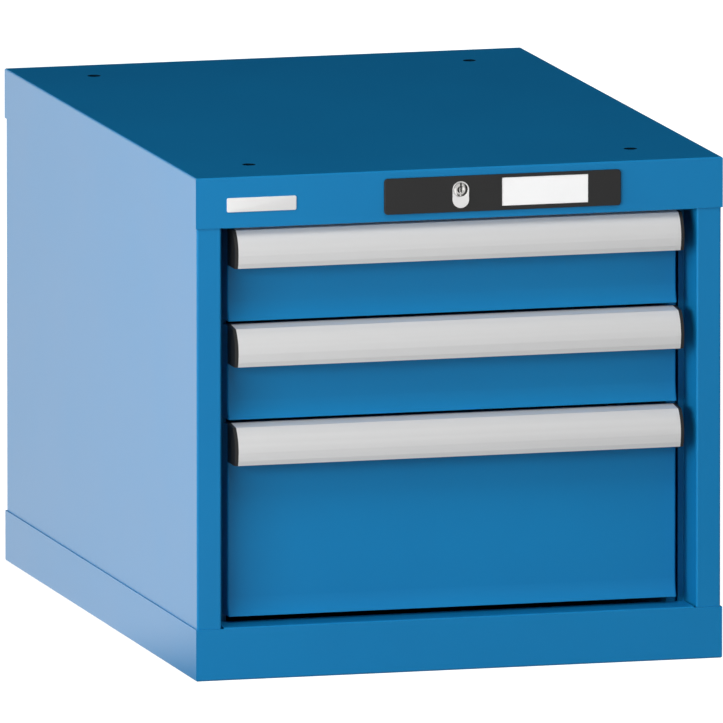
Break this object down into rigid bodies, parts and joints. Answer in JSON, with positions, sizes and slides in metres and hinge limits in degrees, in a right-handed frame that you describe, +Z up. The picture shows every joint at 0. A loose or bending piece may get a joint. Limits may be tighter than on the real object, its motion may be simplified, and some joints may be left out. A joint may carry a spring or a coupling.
{
  "type": "modular drawer cabinet",
  "caption": "Low steel cabinet with full-width drawers on full-extension rails, aluminium grip handles, a central lock with a label strip, and fixing holes for stacking or for a bench top.",
  "frame": {"origin": "on the floor under the middle of the whole object's box", "axes": "+X to the cabinet's right as seen from the front, +Y to the back, +Z up"},
  "size_m": [0.411, 0.5734, 0.383],
  "materials": {
    "blue_paint": "powder coat, fine texture, satin",
    "zinc_steel": "zinc plated sheet, satin",
    "grip_aluminium": "extruded and anodised, satin",
    "black_plastic": "moulded, fine grain",
    "light_plastic": "moulded, smooth",
    "label_paper": "plain card behind a clear film",
    "nickel": "nickel plated",
    "roller_plastic": "turned acetal, smooth"
  },
  "bodies": {
    "housing": {"side_panel_left": "blue_paint", "side_panel_right": "blue_paint", "back_panel": "blue_paint", "top_cover": "blue_paint", "base_tray": "blue_paint", "upright_front_left": "blue_paint", "upright_front_right": "blue_paint", "upright_rear_left": "blue_paint", "upright_rear_right": "blue_paint", "cabinet_rails_top": "zinc_steel", "cabinet_rails_middle": "zinc_steel", "cabinet_rails_bottom": "zinc_steel", "lock_cover": "black_plastic", "label_card": "label_paper", "lock_escutcheon": "light_plastic", "lock_cylinder": "zinc_steel", "rod_bracket": "zinc_steel", "lock_bar_guides": "zinc_steel"},
    "lock": {"lock_core": "nickel", "torsion_rod": "zinc_steel", "lock_crank": "zinc_steel"},
    "locking_bar": {"locking_bar": "zinc_steel"},
    "drawer_top": {"front_panel_top": "blue_paint", "handle_top": "grip_aluminium", "handle_end_caps_top": "black_plastic", "tray_top": "blue_paint", "side_walls_top": "blue_paint", "back_wall_top": "blue_paint", "drawer_rails_top": "zinc_steel", "lock_catch_top": "zinc_steel"},
    "carriages_top": {"carriages_top": "zinc_steel"},
    "rollers_front_top": {"rollers_front_top": "roller_plastic"},
    "rollers_middle_top": {"rollers_middle_top": "roller_plastic"},
    "rollers_rear_top": {"rollers_rear_top": "roller_plastic"},
    "drawer_middle": {"front_panel_middle": "blue_paint", "handle_middle": "grip_aluminium", "handle_end_caps_middle": "black_plastic", "tray_middle": "blue_paint", "side_walls_middle": "blue_paint", "back_wall_middle": "blue_paint", "drawer_rails_middle": "zinc_steel", "lock_catch_middle": "zinc_steel"},
    "carriages_middle": {"carriages_middle": "zinc_steel"},
    "rollers_front_middle": {"rollers_front_middle": "roller_plastic"},
    "rollers_middle_middle": {"rollers_middle_middle": "roller_plastic"},
    "rollers_rear_middle": {"rollers_rear_middle": "roller_plastic"},
    "drawer_bottom": {"front_panel_bottom": "blue_paint", "handle_bottom": "grip_aluminium", "handle_end_caps_bottom": "black_plastic", "tray_bottom": "blue_paint", "side_walls_bottom": "blue_paint", "back_wall_bottom": "blue_paint", "drawer_rails_bottom": "zinc_steel", "lock_catch_bottom": "zinc_steel"},
    "carriages_bottom": {"carriages_bottom": "zinc_steel"},
    "rollers_front_bottom": {"rollers_front_bottom": "roller_plastic"},
    "rollers_middle_bottom": {"rollers_middle_bottom": "roller_plastic"},
    "rollers_rear_bottom": {"rollers_rear_bottom": "roller_plastic"}
  },
  "joints": [
    {"name": "lock_turn", "type": "hinge", "parent": "housing", "child": "lock", "pos_m": [0, -0.28375, 0.3667], "axis": [0, 1, 0], "range_deg": [0, 90]},
    {"name": "locking_bar_lift", "type": "slide", "parent": "housing", "child": "locking_bar", "axis": [0, 0, 1], "range_m": [0, 0.0099]},
    {"name": "drawer_top_slide", "type": "slide", "parent": "housing", "child": "drawer_top", "axis": [0, -1, 0], "range_m": [0, 0.46]},
    {"name": "carriages_top_slide", "type": "slide", "parent": "housing", "child": "carriages_top", "axis": [0, -1, 0], "range_m": [0, 0.23]},
    {"name": "rollers_front_top_spin", "type": "hinge", "parent": "carriages_top", "child": "rollers_front_top", "pos_m": [0, -0.19875, 0.288], "axis": [1, 0, 0], "range_deg": [0, 1359]},
    {"name": "rollers_middle_top_spin", "type": "hinge", "parent": "carriages_top", "child": "rollers_middle_top", "pos_m": [0, 0.00625, 0.288], "axis": [1, 0, 0], "range_deg": [0, 1359]},
    {"name": "rollers_rear_top_spin", "type": "hinge", "parent": "carriages_top", "child": "rollers_rear_top", "pos_m": [0, 0.21125, 0.288], "axis": [1, 0, 0], "range_deg": [0, 1359]},
    {"name": "drawer_middle_slide", "type": "slide", "parent": "housing", "child": "drawer_middle", "axis": [0, -1, 0], "range_m": [0, 0.46]},
    {"name": "carriages_middle_slide", "type": "slide", "parent": "housing", "child": "carriages_middle", "axis": [0, -1, 0], "range_m": [0, 0.23]},
    {"name": "rollers_front_middle_spin", "type": "hinge", "parent": "carriages_middle", "child": "rollers_front_middle", "pos_m": [0, -0.19875, 0.213], "axis": [1, 0, 0], "range_deg": [0, 1359]},
    {"name": "rollers_middle_middle_spin", "type": "hinge", "parent": "carriages_middle", "child": "rollers_middle_middle", "pos_m": [0, 0.00625, 0.213], "axis": [1, 0, 0], "range_deg": [0, 1359]},
    {"name": "rollers_rear_middle_spin", "type": "hinge", "parent": "carriages_middle", "child": "rollers_rear_middle", "pos_m": [0, 0.21125, 0.213], "axis": [1, 0, 0], "range_deg": [0, 1359]},
    {"name": "drawer_bottom_slide", "type": "slide", "parent": "housing", "child": "drawer_bottom", "axis": [0, -1, 0], "range_m": [0, 0.46]},
    {"name": "carriages_bottom_slide", "type": "slide", "parent": "housing", "child": "carriages_bottom", "axis": [0, -1, 0], "range_m": [0, 0.23]},
    {"name": "rollers_front_bottom_spin", "type": "hinge", "parent": "carriages_bottom", "child": "rollers_front_bottom", "pos_m": [0, -0.19875, 0.063], "axis": [1, 0, 0], "range_deg": [0, 1359]},
    {"name": "rollers_middle_bottom_spin", "type": "hinge", "parent": "carriages_bottom", "child": "rollers_middle_bottom", "pos_m": [0, 0.00625, 0.063], "axis": [1, 0, 0], "range_deg": [0, 1359]},
    {"name": "rollers_rear_bottom_spin", "type": "hinge", "parent": "carriages_bottom", "child": "rollers_rear_bottom", "pos_m": [0, 0.21125, 0.063], "axis": [1, 0, 0], "range_deg": [0, 1359]}
  ],
  "couplings": [
    {"joint": "lock_turn", "follows": "locking_bar_lift", "rad_per_m": 158.66},
    {"joint": "carriages_top_slide", "follows": "drawer_top_slide", "ratio": 0.5},
    {"joint": "rollers_front_top_spin", "follows": "drawer_top_slide", "rad_per_m": 51.546},
    {"joint": "rollers_middle_top_spin", "follows": "drawer_top_slide", "rad_per_m": 51.546},
    {"joint": "rollers_rear_top_spin", "follows": "drawer_top_slide", "rad_per_m": 51.546},
    {"joint": "carriages_middle_slide", "follows": "drawer_middle_slide", "ratio": 0.5},
    {"joint": "rollers_front_middle_spin", "follows": "drawer_middle_slide", "rad_per_m": 51.546},
    {"joint": "rollers_middle_middle_spin", "follows": "drawer_middle_slide", "rad_per_m": 51.546},
    {"joint": "rollers_rear_middle_spin", "follows": "drawer_middle_slide", "rad_per_m": 51.546},
    {"joint": "carriages_bottom_slide", "follows": "drawer_bottom_slide", "ratio": 0.5},
    {"joint": "rollers_front_bottom_spin", "follows": "drawer_bottom_slide", "rad_per_m": 51.546},
    {"joint": "rollers_middle_bottom_spin", "follows": "drawer_bottom_slide", "rad_per_m": 51.546},
    {"joint": "rollers_rear_bottom_spin", "follows": "drawer_bottom_slide", "rad_per_m": 51.546}
  ]
}
